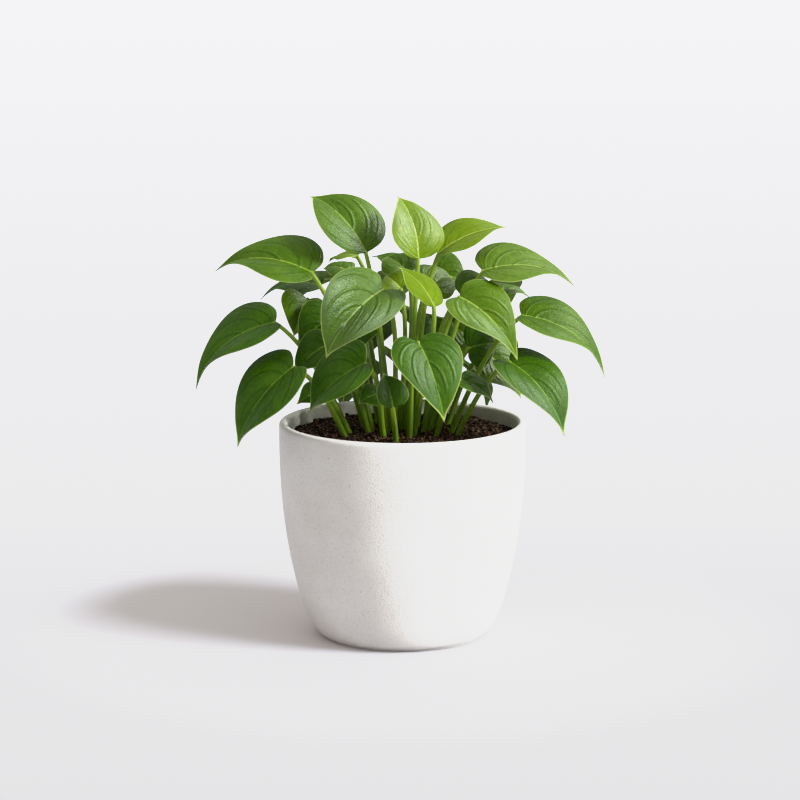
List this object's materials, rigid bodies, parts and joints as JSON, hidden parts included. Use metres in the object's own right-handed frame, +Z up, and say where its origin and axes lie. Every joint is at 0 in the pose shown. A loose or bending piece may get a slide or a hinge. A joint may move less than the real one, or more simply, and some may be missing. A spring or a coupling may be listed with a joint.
{
  "type": "potted heart-leaf house plant",
  "caption": "Bushy house plant with glossy heart-shaped leaves on thin stalks, in a round flared white pot filled with soil.",
  "frame": {"origin": "middle of the pot's foot, on the surface the pot stands on", "axes": "+Z up along the pot's axis, -Y towards the viewer of the picture, +X to the viewer's right"},
  "size_m": [0.2148, 0.1708, 0.2324],
  "materials": {
    "pot": "matte",
    "soil": "matte",
    "leaf": "satin",
    "young_leaf": "satin"
  },
  "bodies": {
    "root": {"pot": "pot", "soil": "soil", "leaf_crown_left": "leaf", "leaf_crown_middle": "young_leaf", "leaf_crown_right": "young_leaf", "leaf_crown_front": "young_leaf", "leaf_upper_left": "leaf", "leaf_upper_right": "leaf", "leaf_front_left": "leaf", "leaf_front_right": "leaf", "leaf_front_low": "leaf", "leaf_middle_left": "leaf", "leaf_middle_right": "leaf", "leaf_low_left": "leaf", "leaf_low_right": "leaf", "leaf_low_front": "leaf", "leaf_behind_upper_left": "leaf", "leaf_behind_left": "leaf", "leaf_inner_left": "leaf", "leaf_inner_low_left": "leaf", "leaf_small_left": "leaf", "leaf_back_left_pale": "young_leaf", "leaf_back_left": "leaf", "leaf_back_crown": "leaf", "leaf_back_crown_small": "leaf", "leaf_inner_crown": "young_leaf", "leaf_inner_crown_right": "leaf", "leaf_back_crown_right": "leaf", "leaf_inner_right": "leaf", "leaf_behind_right": "leaf", "leaf_under_right": "leaf", "leaf_inner_low_right": "leaf", "leaf_small_right": "leaf", "leaf_small_front": "leaf", "leaf_small_inner": "leaf", "leaf_inner_bright": "leaf", "leaf_inner_back_right": "leaf", "leaf_inner_back_left": "leaf", "leaf_back_upper_1": "leaf", "leaf_back_upper_2": "leaf", "leaf_back_upper_3": "leaf", "leaf_back_middle_1": "leaf", "leaf_back_middle_2": "leaf", "leaf_back_middle_3": "leaf", "leaf_back_low_1": "leaf", "leaf_back_low_2": "leaf", "leaf_back_low_3": "leaf"}
  },
  "joints": []
}
